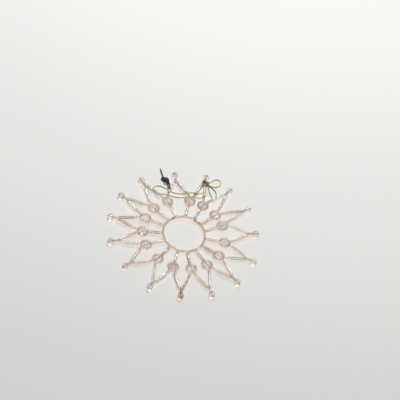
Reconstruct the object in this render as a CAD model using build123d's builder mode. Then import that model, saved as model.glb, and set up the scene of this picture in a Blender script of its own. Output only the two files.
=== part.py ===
from build123d import *
from collections import namedtuple
from math import asin, atan2, cos, degrees, hypot, pi, radians, sin, tan
import os

# A hanging star strung from glass beads, lying on its back on the table, in millimetres.
# The origin is the middle of the hub ring on the table, +Z is up, and +Y points at the
# point that the hanging thread is tied to. Rays and points are numbered counter-clockwise.

# Counts of the pattern
RAYS = 15
RING_SEEDS_PER_SIDE = 3
PETALS = 9
TIP_SEEDS = 2

# Beads: small beads and tubes are cut with six sides, the two round beads with eight, and all
# are bored with three, measured over the corners
SEED_SIDES = 6
ROUND_SIDES = 8
BORE_SIDES = 3
SEED_DIAMETER = 2.2
SEED_LENGTH = 2.0
PETAL_LENGTH = 1.5
BUGLE_DIAMETER = 2.0
SPOKE_LENGTH = 9.0
ARM_LENGTH = 12.0
CENTRE_BEAD_DIAMETER = 4.4
CENTRE_BEAD_LENGTH = 3.8
END_BEAD_DIAMETER = 4.4
END_BEAD_LENGTH = 3.8
ROUND_BEVEL = 0.9
BORE = 1.0

# Stringing thread and the room that it needs
THREAD = 0.25
BEAD_PLAY = 0.1
BRANCH_PLAY = 0.1
RIM_GAP = 0.2
FOOT_GAP = 0.6
FOLD_GAP = 0.9
STRAND_END_GAP = 0.1
END_KNOT_SIZE = 1.1

# How far each spoke has settled to one side, in degrees, counter-clockwise positive
SPOKE_LEANS = [-10, 6, 5, 0, -2, -5, 1, 1, 3, 3, 2, 3, 12, 3, 0]

# Hanging thread, with its knot beside the neck of point 1, and a black thread tied at it
CORD_DIAMETER = 0.8
CORD_SIDES = 4
CORD_LIFT = 0.05
NOOSE_ROOM = 0.1
KNOT_DIAMETER = 2.6
KNOT_LENGTH = 3.4
KNOT_LIFT = 0.2
BLACK_DIAMETER = 1.1
BLACK_KNOT_DIAMETER = 4.0
BLACK_KNOT_LENGTH = 4.6
KNOT_BEVEL = 0.6
BEND_SHARE = 0.45

# Routes of the loose threads along the table, in the star's plane; the bow and the tails are
# measured from the middle of the hanging knot
LOOP_ROUTE = [
    (3.7, 50.9), (4.2, 47.6), (3.4, 43.8), (-0.2, 41.0), (-5.2, 41.4), (-9.8, 37.8), (-15.2, 35.6),
    (-21.4, 36.2), (-27.0, 38.2), (-31.8, 37.2), (-34.2, 33.8), (-32.4, 30.4), (-28.0, 30.0),
    (-22.6, 32.4), (-15.8, 31.8), (-9.4, 34.0), (-4.6, 37.8), (0.8, 37.6), (5.4, 40.4), (6.8, 44.2),
    (6.2, 47.8), (5.0, 50.9),
]
BOW_ROUTE = [
    (0.4, 0.6), (2.4, 3.6), (4.2, 6.6), (7.2, 7.8), (9.8, 5.8), (9.2, 1.8), (6.0, -0.6), (2.6, -0.6),
    (0.4, 0.0),
]
SHORT_TAIL = [(0.8, -0.9), (3.2, -3.4), (5.2, -7.2), (7.6, -10.0)]
LONG_TAIL = [(1.0, -0.6), (4.4, -2.3), (7.4, -4.8), (9.2, -8.0)]
BLACK_ROUTE = [
    (-33.2, 52.9), (-31.2, 49.6), (-29.0, 46.2), (-26.4, 43.6), (-24.6, 41.2), (-23.6, 38.6),
]

# Sizes that follow from the beads
STEP = 360 / RAYS
SEED_RADIUS = SEED_DIAMETER / 2
BUGLE_RADIUS = BUGLE_DIAMETER / 2
MID_HEIGHT = max(CENTRE_BEAD_DIAMETER, END_BEAD_DIAMETER) / 2


def corner_room(half_turn, play):
    """Length that a seed keeps from a corner so that its inner rim clears its neighbour."""
    return SEED_RADIUS * tan(half_turn) + play / 2


RING_HALF_TURN = pi / RAYS
RING_CORNER = corner_room(RING_HALF_TURN, BEAD_PLAY)
RING_RUN = RING_SEEDS_PER_SIDE * (SEED_LENGTH + BEAD_PLAY) - BEAD_PLAY
RING_SIDE = RING_RUN + 2 * RING_CORNER
RING_RADIUS = RING_SIDE / 2 / sin(RING_HALF_TURN)

PETAL_HALF_TURN = pi / PETALS
PETAL_SIDE = PETAL_LENGTH + 2 * corner_room(PETAL_HALF_TURN, THREAD + BRANCH_PLAY)
PETAL_RADIUS = PETAL_SIDE / 2 / tan(PETAL_HALF_TURN)
VALLEY_RADIUS = PETAL_SIDE / 2 / sin(PETAL_HALF_TURN)
ROSETTE_RADIUS = PETAL_RADIUS + SEED_RADIUS

SPOKE_START = SEED_RADIUS + RIM_GAP
SPOKE_REACH = SPOKE_START + SPOKE_LENGTH + RIM_GAP + ROSETTE_RADIUS
FOOT_RADIUS = ROSETTE_RADIUS + FOOT_GAP
HINGE_REACH = SEED_LENGTH + FOLD_GAP / 2
ARM_START = SEED_LENGTH + FOLD_GAP
ARM_REACH = ARM_START + ARM_LENGTH


def polar(length, angle):
    """Vector in the plane of the star."""
    return Vector(length * cos(radians(angle)), length * sin(radians(angle)))


def heading(vector):
    """Direction of a vector in the plane of the star, in degrees."""
    return degrees(atan2(vector.Y, vector.X))


def bead_plane(start, direction):
    """Plane of the first face of a bead on a run, square to it at the height of the thread."""
    origin = (start.X, start.Y, MID_HEIGHT)
    return Plane(origin=origin, x_dir=(0, 0, 1), z_dir=(direction.X, direction.Y, 0))


def flat_place(point, angle):
    """Place in the plane of the star, turned to an angle."""
    return Location((point.X, point.Y), angle)


Ray = namedtuple("Ray", "corner centre angle")
Point = namedtuple("Point", "axis feet arms ends neck seeds bead knot")


def ray_at(number):
    """Hub corner, rosette centre and spoke direction of one ray."""
    ray_angle = 90 + STEP * (number + 0.5)
    corner = polar(RING_RADIUS, ray_angle)
    angle = ray_angle + SPOKE_LEANS[number % len(SPOKE_LEANS)]
    return Ray(corner, corner + polar(SPOKE_REACH, angle), angle)


def point_between(right, left):
    """Two arms that lean on each other, and the beads above them, on the feet of two rays."""
    valley = 360 / PETALS / 2
    feet = [
        right.centre + polar(FOOT_RADIUS, right.angle + valley),
        left.centre + polar(FOOT_RADIUS, left.angle - valley),
    ]
    across = (feet[1] - feet[0]).normalized()
    axis = Vector(across.Y, -across.X)
    half_width = (feet[1] - feet[0]).length / 2
    swing = asin((half_width - BEAD_PLAY / 2) / hypot(ARM_REACH, BUGLE_RADIUS))
    lean = swing - atan2(BUGLE_RADIUS, ARM_REACH)
    arms = [
        axis * cos(lean) + across * sin(lean),
        axis * cos(lean) - across * sin(lean),
    ]
    ends = [foot + arm * ARM_REACH for foot, arm in zip(feet, arms)]
    spread = (ends[1] - ends[0]).length / 2
    rim_rise = max(0, SEED_RADIUS - spread) * tan(lean)
    neck = (ends[0] + ends[1]) / 2 + axis * (rim_rise + BEAD_PLAY)
    pitch = SEED_LENGTH + BEAD_PLAY
    seeds = [neck + axis * (pitch * i) for i in range(TIP_SEEDS)]
    bead = neck + axis * (pitch * TIP_SEEDS)
    knot = bead + axis * END_BEAD_LENGTH
    return Point(axis, feet, arms, ends, neck, seeds, bead, knot)


rays = [ray_at(number) for number in range(RAYS)]
points = [point_between(rays[number - 1], rays[number]) for number in range(RAYS)]


def finish(part, name):
    """Label a piece and write it."""
    part.label = name
    export_step(part, f"parts/{name}.step")


def bore_section(mode=Mode.ADD):
    """Three-sided bore of a bead."""
    RegularPolygon(BORE / 2, BORE_SIDES, mode=mode)


def seed_section():
    """Six-sided seed with its bore."""
    RegularPolygon(SEED_RADIUS, SEED_SIDES)
    bore_section(Mode.SUBTRACT)


def bugle_section():
    """Six-sided tube with its bore."""
    RegularPolygon(BUGLE_RADIUS, SEED_SIDES)
    bore_section(Mode.SUBTRACT)


def round_section(diameter, mode=Mode.ADD):
    """Eight-sided round bead, standing on a flat."""
    RegularPolygon(diameter / 2, ROUND_SIDES, major_radius=False, rotation=180 / ROUND_SIDES, mode=mode)


def rim_edges(part, diameter):
    """Edges round the two ends of eight-sided beads."""
    side = diameter * tan(pi / ROUND_SIDES)
    return part.edges().filter_by(lambda edge: abs(edge.length - side) < 0.001)


os.makedirs("parts", exist_ok=True)

# Hub ring: straight runs of seeds between the corners that carry the spokes
ring_planes = []
for number in range(RAYS):
    start = rays[number - 1].corner
    along = (rays[number].corner - start).normalized()
    for bead in range(RING_SEEDS_PER_SIDE):
        reach = RING_CORNER + bead * (SEED_LENGTH + BEAD_PLAY)
        ring_planes.append(bead_plane(start + along * reach, along))
with BuildPart() as hub_ring_beads:
    with BuildSketch(*ring_planes):
        seed_section()
    extrude(amount=SEED_LENGTH)
finish(hub_ring_beads.part, "hub_ring_beads")

# Spokes: one tube from each corner of the hub ring to its rosette
with BuildPart() as spoke_bugles:
    with BuildSketch(
        *[bead_plane(ray.corner + polar(SPOKE_START, ray.angle), polar(1, ray.angle)) for ray in rays]
    ):
        bugle_section()
    extrude(amount=SPOKE_LENGTH)
finish(spoke_bugles.part, "spoke_bugles")

# Rosettes: a ring of short seeds with a petal on the outer side and a gap at the spoke
petal_planes = []
for ray in rays:
    for petal in range(PETALS):
        outward = ray.angle + 360 / PETALS * petal
        along = polar(1, outward + 90)
        start = ray.centre + polar(PETAL_RADIUS, outward) - along * (PETAL_LENGTH / 2)
        petal_planes.append(bead_plane(start, along))
with BuildPart() as rosette_petals:
    with BuildSketch(*petal_planes):
        seed_section()
    extrude(amount=PETAL_LENGTH)
finish(rosette_petals.part, "rosette_petals")

# Rosette centres: bevelled round beads, bored in line with their spokes
centre_planes = []
for ray in rays:
    start = ray.centre - polar(CENTRE_BEAD_LENGTH / 2, ray.angle)
    centre_planes.append(bead_plane(start, polar(1, ray.angle)))
with BuildPart() as rosette_centre_beads:
    with BuildSketch(*centre_planes):
        round_section(CENTRE_BEAD_DIAMETER)
    extrude(amount=CENTRE_BEAD_LENGTH)
    chamfer(rim_edges(rosette_centre_beads, CENTRE_BEAD_DIAMETER), ROUND_BEVEL)
    with BuildSketch(*centre_planes):
        bore_section()
    extrude(amount=CENTRE_BEAD_LENGTH, mode=Mode.SUBTRACT)
finish(rosette_centre_beads.part, "rosette_centre_beads")

# Foot beads: two on the outer side of each rosette, in line with the arms
foot_planes = []
for point in points:
    for foot, arm in zip(point.feet, point.arms):
        foot_planes.append(bead_plane(foot, arm))
with BuildPart() as foot_beads:
    with BuildSketch(*foot_planes):
        seed_section()
    extrude(amount=SEED_LENGTH)
finish(foot_beads.part, "foot_beads")

# Frame thread: through the ring, the spokes, round every rosette and out through the feet
core_end = CENTRE_BEAD_LENGTH / 2 + STRAND_END_GAP
spoke_strand = SPOKE_REACH + core_end
spoke_strands = [flat_place(ray.corner + polar(spoke_strand / 2, ray.angle), ray.angle) for ray in rays]
branch_length = FOOT_RADIUS - VALLEY_RADIUS
foot_length = HINGE_REACH - STRAND_END_GAP
branch_strands = []
foot_strands = []
for number, point in enumerate(points):
    for ray, foot, arm in zip((rays[number - 1], rays[number]), point.feet, point.arms):
        out = (foot - ray.centre).normalized()
        branch_strands.append(flat_place(foot - out * (branch_length / 2), heading(out)))
        foot_strands.append(flat_place(foot + arm * (foot_length / 2), heading(arm)))
with BuildPart() as frame_thread:
    with BuildSketch(Plane.XY.offset(MID_HEIGHT - THREAD / 2)):
        RegularPolygon(RING_RADIUS + THREAD / 2, RAYS, rotation=90 + STEP / 2)
        RegularPolygon(RING_RADIUS - THREAD / 2, RAYS, rotation=90 + STEP / 2, mode=Mode.SUBTRACT)
        with Locations(*[flat_place(ray.centre, ray.angle) for ray in rays]):
            RegularPolygon(VALLEY_RADIUS + THREAD / 2, PETALS, rotation=180)
            RegularPolygon(VALLEY_RADIUS - THREAD / 2, PETALS, rotation=180, mode=Mode.SUBTRACT)
        with Locations(*spoke_strands):
            Rectangle(spoke_strand, THREAD)
        with Locations(*branch_strands):
            Rectangle(branch_length + THREAD, THREAD)
        with Locations(*foot_strands):
            Rectangle(foot_length, THREAD)
    extrude(amount=THREAD)
finish(frame_thread.part, "frame_thread")

# Points: two arms that fold together about the line between their feet
for number, point in enumerate(points, start=1):
    name = f"point_{number:02d}"

    with BuildPart() as arm_bugles:
        with BuildSketch(
            *[bead_plane(foot + arm * ARM_START, arm) for foot, arm in zip(point.feet, point.arms)]
        ):
            bugle_section()
        extrude(amount=ARM_LENGTH)
    finish(arm_bugles.part, f"{name}_arm_bugles")

    with BuildPart() as tip_beads:
        with BuildSketch(bead_plane(point.bead, point.axis)):
            round_section(END_BEAD_DIAMETER)
        extrude(amount=END_BEAD_LENGTH)
        chamfer(rim_edges(tip_beads, END_BEAD_DIAMETER), ROUND_BEVEL)
        with BuildSketch(bead_plane(point.bead, point.axis)):
            bore_section()
        extrude(amount=END_BEAD_LENGTH, mode=Mode.SUBTRACT)
        with BuildSketch(*[bead_plane(seed, point.axis) for seed in point.seeds]):
            seed_section()
        extrude(amount=SEED_LENGTH)
    finish(tip_beads.part, f"{name}_tip_beads")

    arm_strand = ARM_REACH - HINGE_REACH - STRAND_END_GAP
    neck_strand = (point.knot - point.neck).length
    with BuildPart() as strand:
        with BuildSketch(Plane.XY.offset(MID_HEIGHT - THREAD / 2)):
            with Locations(
                *[
                    flat_place(end - arm * (arm_strand / 2), heading(arm))
                    for end, arm in zip(point.ends, point.arms)
                ]
            ):
                Rectangle(arm_strand + THREAD, THREAD)
            with Locations(flat_place((point.ends[0] + point.ends[1]) / 2, heading(point.axis) + 90)):
                Rectangle((point.ends[1] - point.ends[0]).length, THREAD)
            with Locations(flat_place((point.neck + point.knot) / 2, heading(point.axis))):
                Rectangle(neck_strand + 2 * THREAD, THREAD)
        extrude(amount=THREAD)
        with BuildSketch(bead_plane(point.knot, point.axis)):
            RegularPolygon(END_KNOT_SIZE / 2, SEED_SIDES)
        extrude(amount=END_KNOT_SIZE)
    finish(strand.part, f"{name}_thread")


def tube(route, diameter):
    """Thread along a route, with each bend as wide as its two runs allow."""
    runs = [end - start for start, end in zip(route, route[1:])]
    radii = []
    for before, after in zip(runs, runs[1:]):
        half_turn = radians(before.get_angle(after)) / 2
        radii.append(BEND_SHARE * min(before.length, after.length) / tan(half_turn))
    with BuildPart() as thread:
        with BuildLine() as path:
            FilletPolyline(*route, radius=radii)
        with BuildSketch(Plane(origin=path.line @ 0, x_dir=(0, 0, 1), z_dir=path.line % 0)) as section:
            RegularPolygon(diameter / 2, CORD_SIDES)
        sweep()
    length = sum(edge.length for edge in path.edges())
    print("bend radii", [round(radius, 1) for radius in radii], "length", round(length, 1))
    expected = section.sketch.area * length
    print("volume", round(thread.part.volume, 2), "section times length", round(expected, 2))
    return thread.part


def on_table(route, diameter, origin=Vector(0, 0)):
    """Route of a thread that lies on the table."""
    height = diameter / 2 + CORD_LIFT
    return [Vector(origin.X + x, origin.Y + y, height) for x, y in route]


def lump(centre, direction, diameter, length):
    """Knot drawn tight, as a bevelled bead of thread along a direction."""
    origin = centre - direction * (length / 2)
    with BuildPart() as knot:
        with BuildSketch(Plane(origin=origin, x_dir=(0, 0, 1), z_dir=direction)):
            round_section(diameter)
        extrude(amount=length)
        chamfer(rim_edges(knot, diameter), KNOT_BEVEL)
    return knot.part


# Hanging loop: two strands of one thread that leave the knot and lie under the upper points
hanging_loop = tube(on_table(LOOP_ROUTE, CORD_DIAMETER), CORD_DIAMETER)
finish(hanging_loop, "hanging_loop")

# Hanging knot: a noose round the neck of point 1, its knot, a small bow and two cut tails
holder = points[0]
neck_middle = (holder.neck + holder.bead) / 2
beside = Vector(holder.axis.Y, -holder.axis.X)
noose_radius = SEED_RADIUS + NOOSE_ROOM
knot_centre = neck_middle + beside * (noose_radius + KNOT_DIAMETER / 2)
knot_middle = Vector(knot_centre.X, knot_centre.Y, KNOT_LIFT + KNOT_DIAMETER / 2)
knot_lump = lump(knot_middle, holder.axis, KNOT_DIAMETER, KNOT_LENGTH)
bow = tube(on_table(BOW_ROUTE, CORD_DIAMETER, knot_centre), CORD_DIAMETER)
short_tail = tube(on_table(SHORT_TAIL, CORD_DIAMETER, knot_centre), CORD_DIAMETER)
long_tail = tube(on_table(LONG_TAIL, CORD_DIAMETER, knot_centre), CORD_DIAMETER)
with BuildPart() as hanging_knot:
    with BuildSketch(bead_plane(neck_middle - holder.axis * (CORD_DIAMETER / 2), holder.axis)):
        round_section(2 * (noose_radius + CORD_DIAMETER))
        round_section(2 * noose_radius, mode=Mode.SUBTRACT)
    extrude(amount=CORD_DIAMETER)
    add([knot_lump, bow, short_tail, long_tail])
finish(hanging_knot.part, "hanging_knot")

# Black tie: a short black thread with a knot, its lower end against the hanging loop
black_route = on_table(BLACK_ROUTE, BLACK_DIAMETER)
black_spot = black_route[3]
black_middle = Vector(black_spot.X, black_spot.Y, BLACK_KNOT_DIAMETER / 2 + CORD_LIFT)
black_along = (black_route[4] - black_route[2]).normalized()
black_lump = lump(black_middle, black_along, BLACK_KNOT_DIAMETER, BLACK_KNOT_LENGTH)
black_thread = tube(black_route, BLACK_DIAMETER)
with BuildPart() as black_tie:
    add([black_lump, black_thread])
finish(black_tie.part, "black_tie")
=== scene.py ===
import math

import bpy
from mathutils import Matrix, Vector


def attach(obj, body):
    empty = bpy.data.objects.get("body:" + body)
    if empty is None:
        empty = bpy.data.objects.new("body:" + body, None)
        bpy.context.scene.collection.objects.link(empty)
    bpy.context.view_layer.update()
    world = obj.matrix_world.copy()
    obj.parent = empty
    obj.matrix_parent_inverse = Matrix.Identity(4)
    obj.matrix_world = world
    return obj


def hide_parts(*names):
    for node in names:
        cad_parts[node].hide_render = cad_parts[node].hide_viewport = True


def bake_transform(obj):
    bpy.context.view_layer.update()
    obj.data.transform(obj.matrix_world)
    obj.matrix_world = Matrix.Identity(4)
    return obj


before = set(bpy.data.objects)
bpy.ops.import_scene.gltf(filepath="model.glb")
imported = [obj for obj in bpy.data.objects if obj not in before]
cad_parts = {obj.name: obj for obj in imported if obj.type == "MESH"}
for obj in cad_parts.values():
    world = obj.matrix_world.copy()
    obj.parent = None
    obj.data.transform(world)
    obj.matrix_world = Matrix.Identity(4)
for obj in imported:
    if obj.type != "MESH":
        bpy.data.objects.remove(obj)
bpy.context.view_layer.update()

# Hub ring
# Forty-five seed beads of transparent champagne glass, chopped from drawn cane and tumbled hot
# until their rims round over. A thread through the bores pulls them into a fifteen-sided ring.
MM = 0.001
RAYS = 15
RAY_ANGLE = 360 / RAYS
RING_SEEDS_PER_SIDE = 3
ODD_RING_SEEDS = {(2, 1): "rose", (14, 0): "olive", (14, 2): "olive"}
SEED_DIAMETER = 2.2 * MM
SEED_LENGTH = 2.0 * MM
SEED_BORE = 0.8 * MM
BEAD_PLAY = 0.1 * MM
MID_HEIGHT = 2.2 * MM
SEED_RADIUS = SEED_DIAMETER / 2
SEED_PITCH = SEED_LENGTH + BEAD_PLAY
RING_CORNER = SEED_RADIUS * math.tan(math.pi / RAYS) + BEAD_PLAY / 2
RING_SIDE = RING_SEEDS_PER_SIDE * SEED_PITCH - BEAD_PLAY + 2 * RING_CORNER
RING_RADIUS = RING_SIDE / 2 / math.sin(math.pi / RAYS)


def polar(length, angle):
    """Vector in the plane of the star, from an angle in degrees."""
    turn = math.radians(angle)
    return Vector((length * math.cos(turn), length * math.sin(turn), 0))


def linear(code):
    """Linear colour of an sRGB hex code."""
    parts = [int(code[i:i + 2], 16) / 255 for i in (1, 3, 5)]
    return [p / 12.92 if p <= 0.04045 else ((p + 0.055) / 1.055) ** 2.4 for p in parts] + [1]


def add_object(name, data):
    """New object at the origin of the scene."""
    made = bpy.data.objects.new(name, data)
    bpy.context.scene.collection.objects.link(made)
    return made


def add_node(tree, kind, inputs=None, **settings):
    """One node with its settings; an input takes a value or another node's output. Where inputs
    share a name they go by number: a Mix has numbers at 2 and 3 and colours at 6 and 7."""
    node = tree.nodes.new(kind)
    for name, value in settings.items():
        setattr(node, name, value)
    for key, value in (inputs or {}).items():
        if isinstance(value, bpy.types.NodeSocket):
            tree.links.new(value, node.inputs[key])
        else:
            node.inputs[key].default_value = value
    return node


def open_tree(name, **kinds):
    """Geometry tree with named inputs and one geometry output; returns the tree and its inputs."""
    tree = bpy.data.node_groups.new(name, "GeometryNodeTree")
    for socket, kind in kinds.items():
        tree.interface.new_socket(
            socket.replace("_", " "), in_out="INPUT", socket_type="NodeSocket" + kind)
    tree.interface.new_socket("Made", in_out="OUTPUT", socket_type="NodeSocketGeometry")
    return tree, tree.nodes.new("NodeGroupInput").outputs


def close_tree(tree, made, material):
    """Ends a geometry tree with plain meshes, shaded smooth and in their material."""
    real = add_node(tree, "GeometryNodeRealizeInstances", {"Geometry": made})
    smooth = add_node(tree, "GeometryNodeSetShadeSmooth", {"Geometry": real.outputs[0]})
    dressed = add_node(tree, "GeometryNodeSetMaterial", {
        "Geometry": smooth.outputs[0], "Material": material})
    add_node(tree, "NodeGroupOutput", {0: dressed.outputs[0]})


# A bead is a sheet rolled twice: its columns follow the section from one rim of the bore over the
# outside to the other rim and back through the bore, its rows go round the thread.
bead_tree, given = open_tree(
    "beads_on_thread", Places="Geometry", Length="Float", Diameter="Float", Bore="Float",
    Squareness="Float", Steps="Int", Sides="Int", Size_Spread="Float", Seed="Int",
    Glass="Material")
columns = add_node(bead_tree, "ShaderNodeMath", {0: given["Steps"], 1: 1.0}, operation="ADD")
rows = add_node(bead_tree, "ShaderNodeMath", {0: given["Sides"], 1: 1.0}, operation="ADD")
sheet = add_node(bead_tree, "GeometryNodeMeshGrid", {
    "Size X": 1.0, "Size Y": 1.0,
    "Vertices X": columns.outputs[0], "Vertices Y": rows.outputs[0]})
mapped = add_node(bead_tree, "GeometryNodeStoreNamedAttribute", {
    "Geometry": sheet.outputs["Mesh"], "Name": "bead_uv", "Value": sheet.outputs["UV Map"]},
    data_type="FLOAT2", domain="CORNER")
spot = add_node(bead_tree, "GeometryNodeInputPosition")
place = add_node(bead_tree, "ShaderNodeSeparateXYZ", {0: spot.outputs[0]})

# Each row is one step of the sum that rolls the sheet: its result, its operation and its terms.
known = {
    "x": place.outputs[0], "y": place.outputs[1], "steps": given["Steps"],
    "length": given["Length"], "diameter": given["Diameter"], "bore": given["Bore"],
    "squareness": given["Squareness"],
}
for name, operation, *terms in [
    ("share", "ADD", "x", 0.5),
    ("column", "MULTIPLY", "share", "steps"),
    ("column", "ROUND", "column"),
    ("column", "MODULO", "column", "steps"),
    ("last", "SUBTRACT", "steps", 1.0),
    ("share", "DIVIDE", "column", "last"),
    ("lean", "MULTIPLY_ADD", "share", math.pi, -math.pi / 2),
    ("swell", "COSINE", "lean"),
    ("swell", "MAXIMUM", "swell", 0.0),
    ("swell", "POWER", "swell", "squareness"),
    ("rise", "SINE", "lean"),
    ("way", "SIGN", "rise"),
    ("rise", "ABSOLUTE", "rise"),
    ("rise", "POWER", "rise", "squareness"),
    ("rise", "MULTIPLY", "rise", "way"),
    ("half_length", "MULTIPLY", "length", 0.5),
    ("height", "MULTIPLY", "rise", "half_length"),
    ("walls", "SUBTRACT", "diameter", "bore"),
    ("across", "MULTIPLY_ADD", "swell", "walls", "bore"),
    ("radius", "MULTIPLY", "across", 0.5),
    ("turn", "MULTIPLY_ADD", "y", -2 * math.pi, math.pi),
    ("cosine", "COSINE", "turn"),
    ("sine", "SINE", "turn"),
    ("out_x", "MULTIPLY", "radius", "cosine"),
    ("out_y", "MULTIPLY", "radius", "sine"),
]:
    inputs = {slot: known.get(term, term) for slot, term in enumerate(terms)}
    known[name] = add_node(bead_tree, "ShaderNodeMath", inputs, operation=operation).outputs[0]
rolled = add_node(bead_tree, "ShaderNodeCombineXYZ", {
    0: known["out_x"], 1: known["out_y"], 2: known["height"]})
lathed = add_node(bead_tree, "GeometryNodeSetPosition", {
    "Geometry": mapped.outputs[0], "Position": rolled.outputs[0]})
bead = add_node(bead_tree, "GeometryNodeMergeByDistance", {
    "Geometry": lathed.outputs[0], "Distance": 0.001 * MM})

# Only the two rims of the bore fold more sharply than this, and they stay crisp.
RIM_FOLD = math.radians(60)
fold = add_node(bead_tree, "GeometryNodeInputMeshEdgeAngle").outputs["Unsigned Angle"]
rim_edge = add_node(bead_tree, "FunctionNodeCompare", {0: fold, 1: RIM_FOLD},
                    operation="GREATER_THAN")
crisp = add_node(bead_tree, "GeometryNodeSetShadeSmooth", {
    "Geometry": bead.outputs[0], "Selection": rim_edge.outputs[0], "Shade Smooth": False},
    domain="EDGE")

# Every bead has draws of its own for its turn on the thread, its size and its depth of tint.
SIZE_DRAW = 7.0
TONE_DRAW = 3.0
along = add_node(bead_tree, "GeometryNodeInputNamedAttribute", {"Name": "along"},
                 data_type="FLOAT_VECTOR")
facing = add_node(bead_tree, "FunctionNodeAlignRotationToVector", {"Vector": along.outputs[0]},
                  axis="Z")
spin = add_node(bead_tree, "FunctionNodeRandomValue", {
    2: 0.0, 3: 2 * math.pi, "Seed": given["Seed"]}, data_type="FLOAT")
about = add_node(bead_tree, "FunctionNodeAxisAngleToRotation", {
    "Axis": (0, 0, 1), "Angle": spin.outputs[1]})
spun = add_node(bead_tree, "FunctionNodeRotateRotation", {
    0: facing.outputs[0], 1: about.outputs[0]}, rotation_space="LOCAL")
smallest = add_node(bead_tree, "ShaderNodeMath", {0: 1.0, 1: given["Size Spread"]},
                    operation="SUBTRACT")
size_seed = add_node(bead_tree, "ShaderNodeMath", {0: given["Seed"], 1: SIZE_DRAW},
                     operation="ADD")
size = add_node(bead_tree, "FunctionNodeRandomValue", {
    2: smallest.outputs[0], 3: 1.0, "Seed": size_seed.outputs[0]}, data_type="FLOAT")
beads = add_node(bead_tree, "GeometryNodeInstanceOnPoints", {
    "Points": given["Places"], "Instance": crisp.outputs[0], "Rotation": spun.outputs[0],
    "Scale": size.outputs[1]})
tone_seed = add_node(bead_tree, "ShaderNodeMath", {0: given["Seed"], 1: TONE_DRAW},
                     operation="ADD")
tone = add_node(bead_tree, "FunctionNodeRandomValue", {
    2: 0.0, 3: 1.0, "Seed": tone_seed.outputs[0]}, data_type="FLOAT")
toned = add_node(bead_tree, "GeometryNodeStoreNamedAttribute", {
    "Geometry": beads.outputs[0], "Name": "bead_tone", "Value": tone.outputs[1]},
    data_type="FLOAT", domain="INSTANCE")
close_tree(bead_tree, toned.outputs[0], given["Glass"])


def grow(piece, tree, **values):
    """Runs a geometry tree on a piece and keeps its result as a plain mesh."""
    modifier = piece.modifiers.new("made", "NODES")
    modifier.node_group = tree
    for item in tree.interface.items_tree:
        key = item.name.replace(" ", "_")
        if item.in_out == "INPUT" and key in values:
            modifier[item.identifier] = values[key]
    bpy.context.view_layer.update()
    grown = piece.evaluated_get(bpy.context.evaluated_depsgraph_get())
    made = bpy.data.meshes.new_from_object(grown)
    piece.modifiers.clear()
    piece.data = made
    made.name = piece.name
    return piece


def string_beads(name, places, glass, draw, **shape):
    """Beads threaded at places, each a middle and a direction along the thread."""
    mesh = bpy.data.meshes.new(name)
    mesh.from_pydata([middle for middle, _ in places], [], [])
    along = mesh.attributes.new("along", "FLOAT_VECTOR", "POINT")
    for item, (_, direction) in zip(along.data, places):
        item.vector = direction
    return grow(add_object(name, mesh), bead_tree, Glass=glass, Seed=draw, **shape)


def open_material(name):
    """Empty material and its node tree."""
    material = bpy.data.materials.new(name)
    material.use_nodes = True
    material.node_tree.nodes.clear()
    return material, material.node_tree


# The bore is the last strip of a bead's sheet: past this share of it there is no painted rim to
# see.
OUTER_SHARE = 0.83
GLASS_IOR = 1.52
CLOUD_SIZE = 5 * MM
CLOUD_SHARE = 0.35
STREAKS_ALONG = 2.0
STREAK_DEPTH = 0.05 * MM
RUB_SIZE = 1.5 * MM
RUB_HAZE = 0.1
FAINTEST_PAINTED_RIM = 0.45
SHADOW_TINT = "#E6E1DC"


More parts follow.
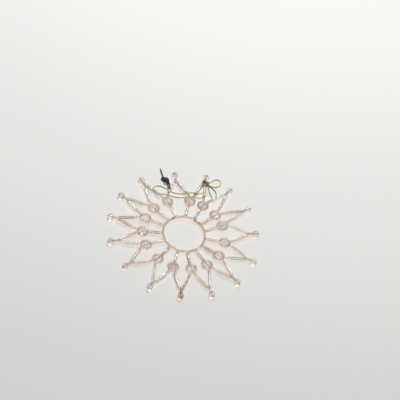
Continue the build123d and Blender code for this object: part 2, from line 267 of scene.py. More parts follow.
def strung_glass(name, pale, deep, painted_rim_colour, painted_rim_range, diameter, streak, shine, tube=False):
    """Tinted soda-lime glass: clear and glossy, with the fine streaks of the drawn cane along each
    bead, a little haze where fingers and thread have rubbed it, and its own depth of tint. Where a
    bead turns away it gets a painted dark rim, a flat dark colour mixed in as painted shade for the
    dark room that real glass shows there. A tube has it on its long sides, judged from the sideways
    direction, so its range runs from high to low. Streaks and haze are drawn coarser than real
    ones, as coarse as they need to be to show."""
    material, tree = open_material(name)
    tone = add_node(tree, "ShaderNodeAttribute", attribute_name="bead_tone")
    spot = add_node(tree, "ShaderNodeTexCoord").outputs["Object"]
    cloud = add_node(tree, "ShaderNodeTexNoise", {
        "Vector": spot, "Scale": 1 / CLOUD_SIZE, "Detail": 2.0})
    depth = add_node(tree, "ShaderNodeMix", {
        0: CLOUD_SHARE, 2: tone.outputs["Fac"], 3: cloud.outputs["Fac"]})
    body = add_node(tree, "ShaderNodeMix", {
        0: depth.outputs[0], 6: linear(pale), 7: linear(deep)}, data_type="RGBA")

    skin = add_node(tree, "ShaderNodeUVMap", uv_map="bead_uv")
    streaks_around = math.pi * diameter / streak
    drawn = add_node(tree, "ShaderNodeMapping", {
        "Vector": skin.outputs[0], "Scale": (STREAKS_ALONG, streaks_around, 1.0)})
    streaks = add_node(tree, "ShaderNodeTexNoise", {
        "Vector": drawn.outputs[0], "Scale": 1.0, "Detail": 1.0})
    bump = add_node(tree, "ShaderNodeBump", {
        "Height": streaks.outputs["Fac"], "Strength": 0.05, "Distance": STREAK_DEPTH})
    rubbed = add_node(tree, "ShaderNodeTexNoise", {
        "Vector": spot, "Scale": 1 / RUB_SIZE, "Detail": 3.0})
    haze = add_node(tree, "ShaderNodeMapRange", {
        "Value": rubbed.outputs["Fac"], "From Min": 0.45, "From Max": 0.75,
        "To Min": shine, "To Max": shine + RUB_HAZE})
    glass = add_node(tree, "ShaderNodeBsdfPrincipled", {
        "Base Color": body.outputs[2], "Roughness": haze.outputs[0], "IOR": GLASS_IOR,
        "Transmission Weight": 1.0, "Normal": bump.outputs[0]})

    surface = add_node(tree, "ShaderNodeNewGeometry").outputs
    seen_from = {"Blend": 0.5}
    if tube:
        lengthwise = add_node(tree, "ShaderNodeTangent", direction_type="UV_MAP", uv_map="bead_uv")
        sideways = add_node(tree, "ShaderNodeVectorMath", {
            0: surface["Normal"], 1: lengthwise.outputs[0]}, operation="CROSS_PRODUCT")
        seen_from["Normal"] = sideways.outputs[0]
    slant = add_node(tree, "ShaderNodeLayerWeight", seen_from)
    section = add_node(tree, "ShaderNodeSeparateXYZ", {0: skin.outputs[0]})
    in_bore = add_node(tree, "ShaderNodeMath", {0: section.outputs[0], 1: OUTER_SHARE},
                       operation="GREATER_THAN")
    painted_rim_hidden = add_node(tree, "ShaderNodeMath", {
        0: in_bore.outputs[0], 1: surface["Backfacing"]}, operation="MAXIMUM")
    painted_rim_strength = add_node(tree, "ShaderNodeMath", {
        0: tone.outputs["Fac"], 1: 1 - FAINTEST_PAINTED_RIM, 2: FAINTEST_PAINTED_RIM}, operation="MULTIPLY_ADD")
    painted_rim = add_node(tree, "ShaderNodeMapRange", {
        "Value": slant.outputs["Facing"], "From Min": painted_rim_range[0], "From Max": painted_rim_range[1],
        "To Max": painted_rim_strength.outputs[0]}, interpolation_type="SMOOTHSTEP")
    painted_rim_seen = add_node(tree, "ShaderNodeMix", {
        0: painted_rim_hidden.outputs[0], 2: painted_rim.outputs[0], 3: 0.0})
    # Painted shade: this flat dark colour, mixed in at the rims, stands in for the dark room seen
    # in real glass.
    dark = add_node(tree, "ShaderNodeBsdfDiffuse", {"Color": linear(painted_rim_colour)})
    glass_with_painted_rim = add_node(tree, "ShaderNodeMixShader", {
        0: painted_rim_seen.outputs[0], 1: glass.outputs[0], 2: dark.outputs[0]})

    through = add_node(tree, "ShaderNodeBsdfTransparent", {"Color": linear(SHADOW_TINT)})
    ray = add_node(tree, "ShaderNodeLightPath")
    lit = add_node(tree, "ShaderNodeMixShader", {
        0: ray.outputs["Is Shadow Ray"], 1: glass_with_painted_rim.outputs[0], 2: through.outputs[0]})
    add_node(tree, "ShaderNodeOutputMaterial", {0: lit.outputs[0]})
    return material


# Each glass is given the colour of its painted dark rim, the painted shade at its edges.
seed_cane = dict(diameter=SEED_DIAMETER, streak=0.5 * MM, shine=0.03)
# Champagne seed glass: transparent with a warm pink-brown cast, deeper in some beads than others.
seed_glass = strung_glass("champagne_seed_glass", pale="#FFFAF5", deep="#FBE6D8", painted_rim_colour="#1E1610",
                          painted_rim_range=(0.42, 0.8), **seed_cane)
# Rose and olive seed glass: three odd beads in the ring are tinted rose and olive, and show as
# small spots of colour.
rose_glass = strung_glass("rose_seed_glass", pale="#F6CBC5", deep="#EAB0AA", painted_rim_colour="#4A2420",
                          painted_rim_range=(0.46, 0.84), **seed_cane)
olive_glass = strung_glass("olive_seed_glass", pale="#D6CE96", deep="#BCB272", painted_rim_colour="#3A3418",
                           painted_rim_range=(0.46, 0.84), **seed_cane)
seed_shape = dict(Length=SEED_LENGTH, Diameter=SEED_DIAMETER, Bore=SEED_BORE, Squareness=0.5,
                  Steps=6, Sides=10, Size_Spread=0.07)
ring_corners = [polar(RING_RADIUS, 90 + RAY_ANGLE * (ray + 0.5)) for ray in range(RAYS)]
lift = Vector((0, 0, MID_HEIGHT))
ring_places = {"champagne": [], "rose": [], "olive": []}
for ray in range(RAYS):
    start = ring_corners[ray - 1]
    run = (ring_corners[ray] - start).normalized()
    for seed in range(RING_SEEDS_PER_SIDE):
        middle = start + run * (RING_CORNER + seed * SEED_PITCH + SEED_LENGTH / 2)
        ring_places[ODD_RING_SEEDS.get((ray, seed), "champagne")].append((middle + lift, run))
ring_tints = [("champagne", seed_glass, 11), ("rose", rose_glass, 12), ("olive", olive_glass, 13)]
for tint, glass, draw in ring_tints:
    ring_seeds = string_beads(f"ring_{tint}_seeds", ring_places[tint], glass, draw, **seed_shape)
    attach(ring_seeds, "star")
    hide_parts("hub_ring_beads")

# Spokes
# Fifteen bugle beads, straight lengths of clear drawn glass tube with their cut ends only lightly
# fire-polished. Each stands between a corner of the ring and its rosette, leaning a little.
BUGLE_DIAMETER = 2.0 * MM
BUGLE_BORE = 1.1 * MM
SPOKE_LENGTH = 9.0 * MM
RIM_GAP = 0.2 * MM
PETALS = 9
PETAL_LENGTH = 1.5 * MM
THREAD = 0.25 * MM
BRANCH_PLAY = 0.1 * MM
SPOKE_LEANS = [-10, 6, 5, 0, -2, -5, 1, 1, 3, 3, 2, 3, 12, 3, 0]
PETAL_SIDE = PETAL_LENGTH + 2 * SEED_RADIUS * math.tan(math.pi / PETALS) + THREAD + BRANCH_PLAY
PETAL_RADIUS = PETAL_SIDE / 2 / math.tan(math.pi / PETALS)
VALLEY_RADIUS = PETAL_SIDE / 2 / math.sin(math.pi / PETALS)
ROSETTE_RADIUS = PETAL_RADIUS + SEED_RADIUS
SPOKE_START = SEED_RADIUS + RIM_GAP
SPOKE_REACH = SPOKE_START + SPOKE_LENGTH + RIM_GAP + ROSETTE_RADIUS

# Clear bugle glass: almost colourless drawn tube, so its walls show as bright lines from the lamp
# and as a painted dark rim, a painted shade near black, along each long side.
bugle_glass = strung_glass("clear_bugle_glass", pale="#FFFBF8", deep="#FAF1EA", painted_rim_colour="#0E0B0A",
                           painted_rim_range=(0.6, 0.36), diameter=BUGLE_DIAMETER, streak=0.4 * MM,
                           shine=0.02, tube=True)
bugle_shape = dict(Diameter=BUGLE_DIAMETER, Bore=BUGLE_BORE, Squareness=0.14, Steps=8, Sides=14,
                   Size_Spread=0.02)
spoke_angles = [90 + RAY_ANGLE * (ray + 0.5) + SPOKE_LEANS[ray] for ray in range(RAYS)]
rosette_middles = [corner + polar(SPOKE_REACH, angle)
                   for corner, angle in zip(ring_corners, spoke_angles)]
spoke_places = [(corner + polar(SPOKE_START + SPOKE_LENGTH / 2, angle) + lift, polar(1, angle))
                for corner, angle in zip(ring_corners, spoke_angles)]
spoke_tubes = string_beads("spoke_tubes", spoke_places, bugle_glass, draw=23, Length=SPOKE_LENGTH,
                           **bugle_shape)
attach(spoke_tubes, "star")
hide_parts("spoke_bugles")

# Rosettes
# At the end of each spoke nine short seeds close into a flower round a larger round bead. The
# thread goes round the seeds, then back through the middle bead, which draws the flower tight.
ROUND_DIAMETER = 4.4 * MM
ROUND_LENGTH = 3.8 * MM
PETAL_BULGE = 1.9 * MM

petal_places = []
for middle, angle in zip(rosette_middles, spoke_angles):
    for petal in range(PETALS):
        outward = angle + 360 / PETALS * petal
        petal_places.append((middle + polar(PETAL_RADIUS, outward) + lift, polar(1, outward + 90)))
petal_shape = dict(seed_shape, Length=PETAL_BULGE, Squareness=0.6)
petals = string_beads("rosette_seeds", petal_places, seed_glass, draw=37, **petal_shape)
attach(petals, "star")
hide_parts("rosette_petals")

# Peach round glass: a wound bead of the same glass, so its thicker body looks warmer and deeper.
round_glass = strung_glass("peach_round_glass", pale="#FFFAF5", deep="#FBEADF", painted_rim_colour="#241A14",
                           painted_rim_range=(0.42, 0.8), diameter=ROUND_DIAMETER, streak=1.4 * MM,
                           shine=0.12)
round_shape = dict(Length=ROUND_LENGTH, Diameter=ROUND_DIAMETER, Bore=SEED_BORE, Squareness=0.8,
                   Steps=9, Sides=14, Size_Spread=0.03)
centre_places = [(middle + lift, polar(1, angle))
                 for middle, angle in zip(rosette_middles, spoke_angles)]
centres = string_beads("rosette_middles", centre_places, round_glass, draw=41, **round_shape)
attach(centres, "star")
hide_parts("rosette_centre_beads")

# Foot seeds
# Two seeds on the outer side of every rosette, where the two threads of the neighbouring points
# leave it. They stand in line with the arms and stay on the rosette when a point folds.
FOOT_GAP = 0.6 * MM
FOLD_GAP = 0.9 * MM
ARM_LENGTH = 12.0 * MM
FOOT_RADIUS = ROSETTE_RADIUS + FOOT_GAP
HINGE_REACH = SEED_LENGTH + FOLD_GAP / 2
ARM_START = SEED_LENGTH + FOLD_GAP
ARM_REACH = ARM_START + ARM_LENGTH
VALLEY_ANGLE = 180 / PETALS

point_axes = []
point_feet = []
point_arms = []
bugle_radius = BUGLE_DIAMETER / 2
for point in range(RAYS):
    feet = [
        rosette_middles[point - 1] + polar(FOOT_RADIUS, spoke_angles[point - 1] + VALLEY_ANGLE),
        rosette_middles[point] + polar(FOOT_RADIUS, spoke_angles[point] - VALLEY_ANGLE),
    ]
    across = (feet[1] - feet[0]).normalized()
    axis = Vector((across.y, -across.x, 0))
    half_width = (feet[1] - feet[0]).length / 2
    tilt = math.asin((half_width - BEAD_PLAY / 2) / math.hypot(ARM_REACH, bugle_radius))
    tilt -= math.atan2(bugle_radius, ARM_REACH)
    point_axes.append(axis)
    point_feet.append(feet)
    point_arms.append([axis * math.cos(tilt) + across * math.sin(tilt),
                       axis * math.cos(tilt) - across * math.sin(tilt)])
foot_places = []
for feet, arms in zip(point_feet, point_arms):
    for foot, arm in zip(feet, arms):
        foot_places.append((foot + arm * (SEED_LENGTH / 2) + lift, arm))
foot_seeds = string_beads("foot_seeds", foot_places, seed_glass, draw=53, **seed_shape)
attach(foot_seeds, "star")
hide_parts("foot_beads")

# Stringing thread of the frame
# One waxed thread through the ring, up every spoke, round each rosette and out through the feet.
# It shows in the gaps between beads and as a fine line inside the clear tubes.
strand_tree, given = open_tree("thread_along_edges", Runs="Geometry", Diameter="Float", Sides="Int",
                               Fibre="Material")
runs = add_node(strand_tree, "GeometryNodeMeshToCurve", {"Mesh": given["Runs"]})
strand_radius = add_node(strand_tree, "ShaderNodeMath", {0: given["Diameter"], 1: 0.5},
                         operation="MULTIPLY")
section = add_node(strand_tree, "GeometryNodeCurvePrimitiveCircle", {
    "Resolution": given["Sides"], "Radius": strand_radius.outputs[0]})
drawn_out = add_node(strand_tree, "GeometryNodeCurveToMesh", {
    "Curve": runs.outputs[0], "Profile Curve": section.outputs[0], "Fill Caps": True})
close_tree(strand_tree, drawn_out.outputs[0], given["Fibre"])


def lay_runs(name, runs):
    """Piece that holds the runs of a thread as edges; a run may close on itself."""
    corners = []
    edges = []
    for run, closes in runs:
        first = len(corners)
        corners.extend(run)
        edges.extend((first + i, first + i + 1) for i in range(len(run) - 1))
        if closes:
            edges.append((len(corners) - 1, first))
    mesh = bpy.data.meshes.new(name)
    mesh.from_pydata(corners, edges, [])
    return add_object(name, mesh)


def spun_thread(name, light, dark, fibre):
    """Spun thread: matt and soft at its edges, mottled where loose fibres catch the light. Real
    fibres are too fine to show, so they are drawn as coarse as they need to be."""
    material, tree = open_material(name)
    spot = add_node(tree, "ShaderNodeTexCoord").outputs["Object"]
    fluff = add_node(tree, "ShaderNodeTexNoise", {
        "Vector": spot, "Scale": 1 / fibre, "Detail": 3.0})
    colour = add_node(tree, "ShaderNodeMix", {
        0: fluff.outputs["Fac"], 6: linear(dark), 7: linear(light)}, data_type="RGBA")
    bump = add_node(tree, "ShaderNodeBump", {
        "Height": fluff.outputs["Fac"], "Strength": 0.5, "Distance": 0.1 * MM})
    worn = add_node(tree, "ShaderNodeMapRange", {
        "Value": fluff.outputs["Fac"], "To Min": 0.9, "To Max": 0.65})
    matt = add_node(tree, "ShaderNodeBsdfPrincipled", {
        "Base Color": colour.outputs[2], "Roughness": worn.outputs[0], "Sheen Weight": 0.3,
        "Sheen Roughness": 0.5, "Normal": bump.outputs[0]})
    add_node(tree, "ShaderNodeOutputMaterial", {0: matt.outputs[0]})
    return material


# Waxed thread: bonded sewing thread, grey-brown from its wax, a fine dull line beside the glass.
waxed_thread = spun_thread("waxed_thread", light="#8A7C6E", dark="#5A5046", fibre=0.3 * MM)
frame_runs = [([corner + lift for corner in ring_corners], True)]
for corner, middle, angle in zip(ring_corners, rosette_middles, spoke_angles):
    frame_runs.append(([corner + lift, middle + polar(ROUND_LENGTH / 2, angle) + lift], False))
    flower = [middle + polar(VALLEY_RADIUS, angle + VALLEY_ANGLE * (2 * petal + 1)) + lift
              for petal in range(PETALS)]
    frame_runs.append((flower, True))
for point, (feet, arms) in enumerate(zip(point_feet, point_arms)):
    for ray, foot, arm in zip((point - 1, point), feet, arms):
        inward = (rosette_middles[ray] - foot).normalized()
        frame_runs.append(([foot + inward * (FOOT_RADIUS - VALLEY_RADIUS) + lift, foot + lift,
                            foot + arm * HINGE_REACH + lift], False))
frame_strand = grow(lay_runs("frame_strand", frame_runs), strand_tree, Diameter=THREAD, Sides=6,
                    Fibre=waxed_thread)
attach(frame_strand, "star")
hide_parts("frame_thread")

# Points
# Each point is two long bugles that lean together on their feet, two seeds and a round end bead
# over them, all glass, and a doubled thread tied off in an overhand knot. It folds on the bare
# threads at its two feet.
TIP_SEEDS = 2
AMBER_POINT = 9
END_KNOT_SIZE = 1.1 * MM
TIE_DIAMETER = 0.22 * MM
KNOT_STEPS = 48
KNOT_UNIT = (END_KNOT_SIZE - TIE_DIAMETER) / 6
ARM_DRAW = 60
TIP_DRAW = 80
END_DRAW = 100

# Champagne end glass: the round beads of the tips, between the seeds and the rosette middles in
# depth of tint.
tip_glass = strung_glass("champagne_end_glass", pale="#FFFAF5", deep="#FAEADF", painted_rim_colour="#1E1610",
                         painted_rim_range=(0.3, 0.7), diameter=ROUND_DIAMETER, streak=1.4 * MM, shine=0.03)
# Amber end glass: the beads of one tip, from a browner cane than the rest.
amber_glass = strung_glass("amber_end_glass", pale="#F5DECB", deep="#EAC9AE", painted_rim_colour="#2A1A10",
                           painted_rim_range=(0.3, 0.7), **seed_cane)
neck_starts = []
for point, (axis, feet, arms) in enumerate(zip(point_axes, point_feet, point_arms)):
    body = f"point_{point + 1:02d}"
    ends = [foot + arm * ARM_REACH for foot, arm in zip(feet, arms)]
    tilt = arms[0].angle(axis)
    spread = (ends[1] - ends[0]).length / 2
    rest_on_arms = max(0, SEED_RADIUS - spread) * math.tan(tilt) + BEAD_PLAY
    neck = (ends[0] + ends[1]) / 2 + axis * rest_on_arms
    neck_starts.append(neck)
    end_start = neck + axis * (SEED_PITCH * TIP_SEEDS)
    knot = end_start + axis * ROUND_LENGTH

    arm_places = [(foot + arm * (ARM_START + ARM_LENGTH / 2) + lift, arm)
                  for foot, arm in zip(feet, arms)]
    arm_pair = string_beads(f"{body}_arms", arm_places, bugle_glass, ARM_DRAW + point,
                            Length=ARM_LENGTH, **bugle_shape)
    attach(arm_pair, body)
    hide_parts(f"{body}_arm_bugles")

    amber = point + 1 == AMBER_POINT
    tip_places = [(neck + axis * (SEED_PITCH * seed + SEED_LENGTH / 2) + lift, axis)
                  for seed in range(TIP_SEEDS)]
    tip_pair = string_beads(f"{body}_tip_seeds", tip_places, amber_glass if amber else seed_glass,
                            TIP_DRAW + point, **seed_shape)
    end_places = [(end_start + axis * (ROUND_LENGTH / 2) + lift, axis)]
    end_bead = string_beads(f"{body}_end", end_places, amber_glass if amber else tip_glass,
                            END_DRAW + point, **round_shape)
    for piece, slot in ((tip_pair, "seed_glass"), (end_bead, "round_bead_glass")):
        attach(piece, body)
        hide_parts(f"{body}_tip_beads")

    side = Vector((axis.y, -axis.x, 0))
    point_runs = []
    for foot, arm, end, aside in zip(feet, arms, ends, (side, -side)):
        apart = aside * (TIE_DIAMETER / 2)
        point_runs.append(([foot + arm * HINGE_REACH + lift, end + lift, neck + apart + lift,
                            knot + axis * (END_KNOT_SIZE / 2) + apart + lift], False))
    loops = []
    for step in range(KNOT_STEPS):
        turn = 2 * math.pi * step / KNOT_STEPS
        wide = math.sin(turn) + 2 * math.sin(2 * turn)
        deep = math.cos(turn) - 2 * math.cos(2 * turn)
        high = END_KNOT_SIZE / 2 - math.sin(3 * turn) * KNOT_UNIT
        loops.append(knot + axis * high + side * (wide * KNOT_UNIT)
                     + Vector((0, 0, deep * KNOT_UNIT)) + lift)
    point_runs.append((loops, True))
    strand = grow(lay_runs(f"{body}_strand", point_runs), strand_tree, Diameter=TIE_DIAMETER,
                  Sides=6, Fibre=waxed_thread)
    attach(strand, body)
    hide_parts(f"{body}_thread")

# Hanging loop
# A doubled length of olive two-ply thread that leaves the knot at the top point and lies in a loose
# loop under the upper points. Its far end is where the star hangs from.
CORD_DIAMETER = 0.8 * MM
CORD_LIFT = 0.05 * MM
CORD_LAY = 2.4 * MM
LAY_STEPS = 8.0
PLY_SHARE = 0.25
LOOP_ROUTE = [
    (3.7, 50.9), (4.2, 47.6), (3.4, 43.8), (-0.2, 41.0), (-5.2, 41.4), (-9.8, 37.8), (-15.2, 35.6),
    (-21.4, 36.2), (-27.0, 38.2), (-31.8, 37.2), (-34.2, 33.8), (-32.4, 30.4), (-28.0, 30.0),
    (-22.6, 32.4), (-15.8, 31.8), (-9.4, 34.0), (-4.6, 37.8), (0.8, 37.6), (5.4, 40.4), (6.8, 44.2),
    (6.2, 47.8), (5.0, 50.9),
]

# A thread's plies wind round its line: each copy of the line swings about it once in every lay.
ply_tree, given = open_tree("twisted_thread", Line="Geometry", Diameter="Float", Lay="Float",
                            Plies="Int", Sides="Int", Fibre="Material")
line = add_node(ply_tree, "GeometryNodeMeshToCurve", {"Mesh": given["Line"]})
step = add_node(ply_tree, "ShaderNodeMath", {0: given["Lay"], 1: LAY_STEPS}, operation="DIVIDE")
stepped = add_node(ply_tree, "GeometryNodeResampleCurve", {
    "Curve": line.outputs[0], "Length": step.outputs[0]}, mode="LENGTH")
plies = add_node(ply_tree, "GeometryNodeDuplicateElements", {
    "Geometry": stepped.outputs[0], "Amount": given["Plies"]}, domain="SPLINE")
gone = add_node(ply_tree, "GeometryNodeSplineParameter").outputs["Length"]
lays = add_node(ply_tree, "ShaderNodeMath", {0: gone, 1: given["Lay"]}, operation="DIVIDE")
ply = add_node(ply_tree, "ShaderNodeMath", {0: plies.outputs[1], 1: given["Plies"]},
               operation="DIVIDE")
laid = add_node(ply_tree, "ShaderNodeMath", {0: lays.outputs[0], 1: ply.outputs[0]},
                operation="ADD")
turn = add_node(ply_tree, "ShaderNodeMath", {0: laid.outputs[0], 1: 2 * math.pi},
                operation="MULTIPLY").outputs[0]
cosine = add_node(ply_tree, "ShaderNodeMath", {0: turn}, operation="COSINE")
sine = add_node(ply_tree, "ShaderNodeMath", {0: turn}, operation="SINE")
aside = add_node(ply_tree, "GeometryNodeInputNormal").outputs["Normal"]
ahead = add_node(ply_tree, "GeometryNodeInputTangent").outputs[0]
upward = add_node(ply_tree, "ShaderNodeVectorMath", {0: ahead, 1: aside},
                  operation="CROSS_PRODUCT")
swing_aside = add_node(ply_tree, "ShaderNodeVectorMath", {0: aside, "Scale": cosine.outputs[0]},
                       operation="SCALE")
swing_up = add_node(ply_tree, "ShaderNodeVectorMath", {
    0: upward.outputs[0], "Scale": sine.outputs[0]}, operation="SCALE")
swing = add_node(ply_tree, "ShaderNodeVectorMath", {
    0: swing_aside.outputs[0], 1: swing_up.outputs[0]}, operation="ADD")
ply_radius = add_node(ply_tree, "ShaderNodeMath", {0: given["Diameter"], 1: PLY_SHARE},
                      operation="MULTIPLY").outputs[0]
offset = add_node(ply_tree, "ShaderNodeVectorMath", {0: swing.outputs[0], "Scale": ply_radius},
                  operation="SCALE")
wound = add_node(ply_tree, "GeometryNodeSetPosition", {
    "Geometry": plies.outputs[0], "Offset": offset.outputs[0]})
section = add_node(ply_tree, "GeometryNodeCurvePrimitiveCircle", {
    "Resolution": given["Sides"], "Radius": ply_radius})
drawn_out = add_node(ply_tree, "GeometryNodeCurveToMesh", {
    "Curve": wound.outputs[0], "Profile Curve": section.outputs[0], "Fill Caps": True})
close_tree(ply_tree, drawn_out.outputs[0], given["Fibre"])


def smooth_line(name, routes):
    """One piece of edges along smooth splines that have the routes' points as control points."""
    curve = bpy.data.curves.new(name, "CURVE")
    curve.dimensions = "3D"
    curve.resolution_u = 8
    for route in routes:
        spline = curve.splines.new("NURBS")
        spline.points.add(len(route) - 1)
        for point, place in zip(spline.points, route):
            point.co = (*place, 1)
        spline.order_u = 3
        spline.use_endpoint_u = True
    guide = add_object(name + "_guide", curve)
    bpy.context.view_layer.update()
    smoothed = guide.evaluated_get(bpy.context.evaluated_depsgraph_get())
    mesh = bpy.data.meshes.new_from_object(smoothed)
    bpy.data.objects.remove(guide)
    bpy.data.curves.remove(curve)
    mesh.name = name
    return add_object(name, mesh)


def lying_flat(route, diameter, origin=Vector((0, 0, 0))):
    """Route of a thread that lies flat beside the star, in metres."""
    height = diameter / 2 + CORD_LIFT
    return [Vector((origin.x + x * MM, origin.y + y * MM, height)) for x, y in route]


# Pale lime cotton: the same dull yellow-green embroidery thread as the bow, painted paler as a lit
# copy of it for the long loop; the paleness is painted light.
painted_lit_thread = spun_thread("pale_lime_cotton", light="#F9F8CC", dark="#D8D78E", fibre=0.5 * MM)
loop = smooth_line("olive_loop", [lying_flat(LOOP_ROUTE, CORD_DIAMETER)])
grow(loop, ply_tree, Diameter=CORD_DIAMETER, Lay=CORD_LAY, Plies=2, Sides=6, Fibre=painted_lit_thread)
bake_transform(loop)
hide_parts("hanging_loop")

# Hanging knot
# The same thread goes twice round the neck of the top point, is tied beside it in a tight granny
# knot and ends in a small bow and two cut tails that lie flat.
NOOSE_ROOM = 0.1 * MM
NOOSE_TURNS = 2
NOOSE_PITCH = 1.6
TURN_STEPS = 12
KNOT_DIAMETER = 2.6 * MM
KNOT_LENGTH = 3.4 * MM
KNOT_LIFT = 0.2 * MM
KNOT_TURNS = 5
KNOT_BULGE = 0.2
BOW_ROUTE = [
    (0.4, 0.6), (2.4, 3.6), (4.2, 6.6), (7.2, 7.8), (9.8, 5.8), (9.2, 1.8), (6.0, -0.6),
    (2.6, -0.6), (0.4, 0.0),
]
SHORT_TAIL = [(0.8, -0.9), (2.4, -4.0), (3.8, -7.6), (6.8, -11.0)]
LONG_TAIL = [(1.0, -0.8), (4.2, -2.0), (7.4, -3.8), (9.2, -6.4), (9.6, -9.2)]

up = Vector((0, 0, 1))
neck_axis = point_axes[0]
neck_side = Vector((neck_axis.y, -neck_axis.x, 0))
neck_middle = neck_starts[0] + neck_axis * (SEED_PITCH * TIP_SEEDS / 2)
noose_radius = SEED_RADIUS + NOOSE_ROOM
knot_spot = neck_middle + neck_side * (noose_radius + KNOT_DIAMETER / 2)
knot_middle = Vector((knot_spot.x, knot_spot.y, KNOT_LIFT + KNOT_DIAMETER / 2))
noose = []
noose_steps = NOOSE_TURNS * TURN_STEPS
for step in range(noose_steps + 1):
    turn = 2 * math.pi * step / TURN_STEPS
    out = noose_radius + CORD_DIAMETER / 2
    along_neck = (step / noose_steps - 0.5) * CORD_DIAMETER * NOOSE_PITCH
    noose.append(neck_middle + lift + neck_side * (out * math.cos(turn))
                 + up * (out * math.sin(turn)) + neck_axis * along_neck)


def drawn_knot(middle, axis, side, diameter, length, thread):
    """Route of a thread wound back over itself five times and drawn tight along an axis."""
    ring = (diameter - thread) / 2
    steps = TURN_STEPS * KNOT_TURNS
    route = []
    for step in range(steps + 1):
        turn = 2 * math.pi * step / steps
        wound = KNOT_TURNS * turn
        bulge = ring * (1 - KNOT_BULGE + KNOT_BULGE * math.cos(2 * turn))
        route.append(middle + side * (bulge * math.cos(wound)) + up * (bulge * math.sin(wound))
                     + axis * ((length - thread) / 2 * math.sin(turn)))
    return route


# Dark olive cotton: the same thread where it is drawn tight, painted darker as a shaded copy of it;
# the darkness is painted shade in the noose, knot and tails.
painted_shade_thread = spun_thread("olive_dark_cotton", light="#A6A26E", dark="#6E6A3E", fibre=0.5 * MM)
knot = smooth_line("olive_knot", [
    noose, drawn_knot(knot_middle, neck_axis, neck_side, KNOT_DIAMETER, KNOT_LENGTH, CORD_DIAMETER),
    lying_flat(SHORT_TAIL, CORD_DIAMETER, knot_spot),
    lying_flat(LONG_TAIL, CORD_DIAMETER, knot_spot)])
grow(knot, ply_tree, Diameter=CORD_DIAMETER, Lay=CORD_LAY, Plies=2, Sides=6, Fibre=painted_shade_thread)
# Olive-lime cotton: the same thread in its first colour, paler where its plies catch the light.
lime_thread = spun_thread("olive_lime_cotton", light="#F2F1AE", dark="#C6C56C", fibre=0.5 * MM)
bow = smooth_line("olive_bow", [lying_flat(BOW_ROUTE, CORD_DIAMETER, knot_spot)])
grow(bow, ply_tree, Diameter=CORD_DIAMETER, Lay=CORD_LAY, Plies=2, Sides=6, Fibre=lime_thread)
for piece in (knot, bow):
    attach(piece, "point_01")
    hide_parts("hanging_knot")

# Black tie
# A short black three-ply thread beside the loop, tied in a thick knot with a small ear. One cut end
# points away and two lie side by side against the loop.
BLACK_DIAMETER = 1.1 * MM
BLACK_LAY = 3.2 * MM
BLACK_KNOT_DIAMETER = 4.0 * MM
BLACK_KNOT_LENGTH = 4.6 * MM
BLACK_KNOT_AT = 3
BLACK_ROUTE = [
    (-33.2, 52.9), (-31.2, 49.6), (-29.0, 46.2), (-26.0, 43.8), (-23.6, 42.2), (-22.9, 37.5),
]
BLACK_SECOND_END = [(-25.4, 44.2), (-22.9, 43.0), (-22.2, 40.6), (-21.7, 37.1)]
BLACK_EAR = [(-27.4, 45.0), (-29.6, 45.9), (-30.4, 44.6), (-29.0, 43.3), (-27.0, 43.4)]

# Black cotton: a soft three-ply thread, green-black where its fibres catch the light.
black_cotton = spun_thread("black_cotton", light="#2C302C", dark="#111311", fibre=0.5 * MM)
black_route = lying_flat(BLACK_ROUTE, BLACK_DIAMETER)
black_axis = (black_route[BLACK_KNOT_AT + 1] - black_route[BLACK_KNOT_AT - 1]).normalized()
black_side = Vector((black_axis.y, -black_axis.x, 0))
black_spot = black_route[BLACK_KNOT_AT]
black_middle = Vector((black_spot.x, black_spot.y, BLACK_KNOT_DIAMETER / 2 + CORD_LIFT))
black = smooth_line("black_tie_thread", [
    black_route, lying_flat(BLACK_SECOND_END, BLACK_DIAMETER),
    lying_flat(BLACK_EAR, BLACK_DIAMETER),
    drawn_knot(black_middle, black_axis, black_side, BLACK_KNOT_DIAMETER, BLACK_KNOT_LENGTH,
               BLACK_DIAMETER)])
grow(black, ply_tree, Diameter=BLACK_DIAMETER, Lay=BLACK_LAY, Plies=3, Sides=6, Fibre=black_cotton)
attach(black, "star")
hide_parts("black_tie")

# Floor and light
# A plain pale floor under a soft white sky that darkens to the left and right, as a room does. One
# small lamp beyond the star draws a bright line along each tube.
FLOOR_HALF = 6.0
FLOOR_DROP = 0.02 * MM
HORIZON_LIGHT = 0.8
LAMP_WATTS = 11.8
LAMP_SIZE = 0.3
LAMP_PLACE = (-0.08, 0.7, 0.96)

floor_corners = [(x * FLOOR_HALF, y * FLOOR_HALF, -FLOOR_DROP)
                 for x, y in ((-1, -1), (1, -1), (1, 1), (-1, 1))]
floor_mesh = bpy.data.meshes.new("floor")
floor_mesh.from_pydata(floor_corners, [], [(0, 1, 2, 3)])
floor = add_object("floor", floor_mesh)
# White laminate: an even, dull white that takes a soft shadow.
laminate, tree = open_material("white_laminate")
coat = add_node(tree, "ShaderNodeBsdfPrincipled", {
    "Base Color": linear("#E6E5E3"), "Roughness": 0.85})
add_node(tree, "ShaderNodeOutputMaterial", {0: coat.outputs[0]})
floor_mesh.materials.append(laminate)

sky = bpy.data.worlds.new("daylight")
bpy.context.scene.world = sky
sky.use_nodes = True
tree = sky.node_tree
tree.nodes.clear()
outlook = add_node(tree, "ShaderNodeTexCoord").outputs["Generated"]
direction = add_node(tree, "ShaderNodeSeparateXYZ", {0: outlook})
zenith = add_node(tree, "ShaderNodeMapRange", {
    "Value": direction.outputs[2], "From Min": 0.55, "From Max": 0.9, "To Min": 0.3,
    "To Max": 0.9}, interpolation_type="SMOOTHSTEP")
sideways = add_node(tree, "ShaderNodeMath", {0: direction.outputs[0]}, operation="ABSOLUTE")
walls = add_node(tree, "ShaderNodeMapRange", {
    "Value": sideways.outputs[0], "From Min": 0.12, "From Max": 0.5, "To Min": 1.0,
    "To Max": 0.02}, interpolation_type="SMOOTHSTEP")
room = add_node(tree, "ShaderNodeMath", {0: zenith.outputs[0], 1: walls.outputs[0]},
                operation="MULTIPLY")
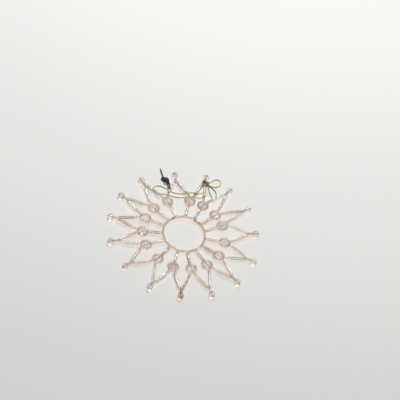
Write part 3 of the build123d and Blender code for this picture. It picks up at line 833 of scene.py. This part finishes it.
above = add_node(tree, "ShaderNodeMapRange", {
    "Value": direction.outputs[2], "From Min": 0.05, "From Max": 0.2},
    interpolation_type="SMOOTHSTEP")
level = add_node(tree, "ShaderNodeMix", {0: above.outputs[0], 2: HORIZON_LIGHT, 3: room.outputs[0]})
light = add_node(tree, "ShaderNodeBackground", {
    "Color": linear("#FFFFFF"), "Strength": level.outputs[0]})
add_node(tree, "ShaderNodeOutputWorld", {0: light.outputs[0]})

lamp_data = bpy.data.lights.new("window", "AREA")
lamp_data.energy = LAMP_WATTS
lamp_data.size = LAMP_SIZE
lamp = add_object("window", lamp_data)
lamp.location = LAMP_PLACE
lamp.rotation_euler = (-lamp.location).to_track_quat("-Z", "Y").to_euler()

# Camera
# A long lens looking down on the star from the front, rolled a little, with the middle of the star
# at its place in the square frame.
TURN = math.radians(2.49)
ELEVATION = math.radians(52.94)
ROLL = math.radians(15.8)
DISTANCE = 2.0
SENSOR = 36
FRAME_PIXELS = 400
PIXELS_PER_MM = 1.328
STAR_PIXEL = (183.9, 234.0)

level_right = Vector((math.cos(TURN), math.sin(TURN), 0))
ahead = Vector((-math.sin(TURN), math.cos(TURN), 0))
level_up = ahead * math.sin(ELEVATION) + up * math.cos(ELEVATION)
view = ahead * math.cos(ELEVATION) - up * math.sin(ELEVATION)
right = level_right * math.cos(ROLL) + level_up * math.sin(ROLL)
top = level_up * math.cos(ROLL) - level_right * math.sin(ROLL)
star_right, star_down = [(pixel - FRAME_PIXELS / 2) / PIXELS_PER_MM * MM for pixel in STAR_PIXEL]
aim = lift - right * star_right + top * star_down
camera_data = bpy.data.cameras.new("camera")
camera_data.sensor_fit = "HORIZONTAL"
camera_data.sensor_width = SENSOR
camera_data.lens = SENSOR * DISTANCE / (FRAME_PIXELS / PIXELS_PER_MM * MM)
camera_data.clip_start = 0.05
camera_data.clip_end = 20
camera = add_object("camera", camera_data)
turned = Matrix((right, top, -view)).transposed().to_4x4()
turned.translation = aim - view * DISTANCE
camera.matrix_world = turned
bpy.context.scene.camera = camera
bpy.context.scene.view_settings.view_transform = "Standard"
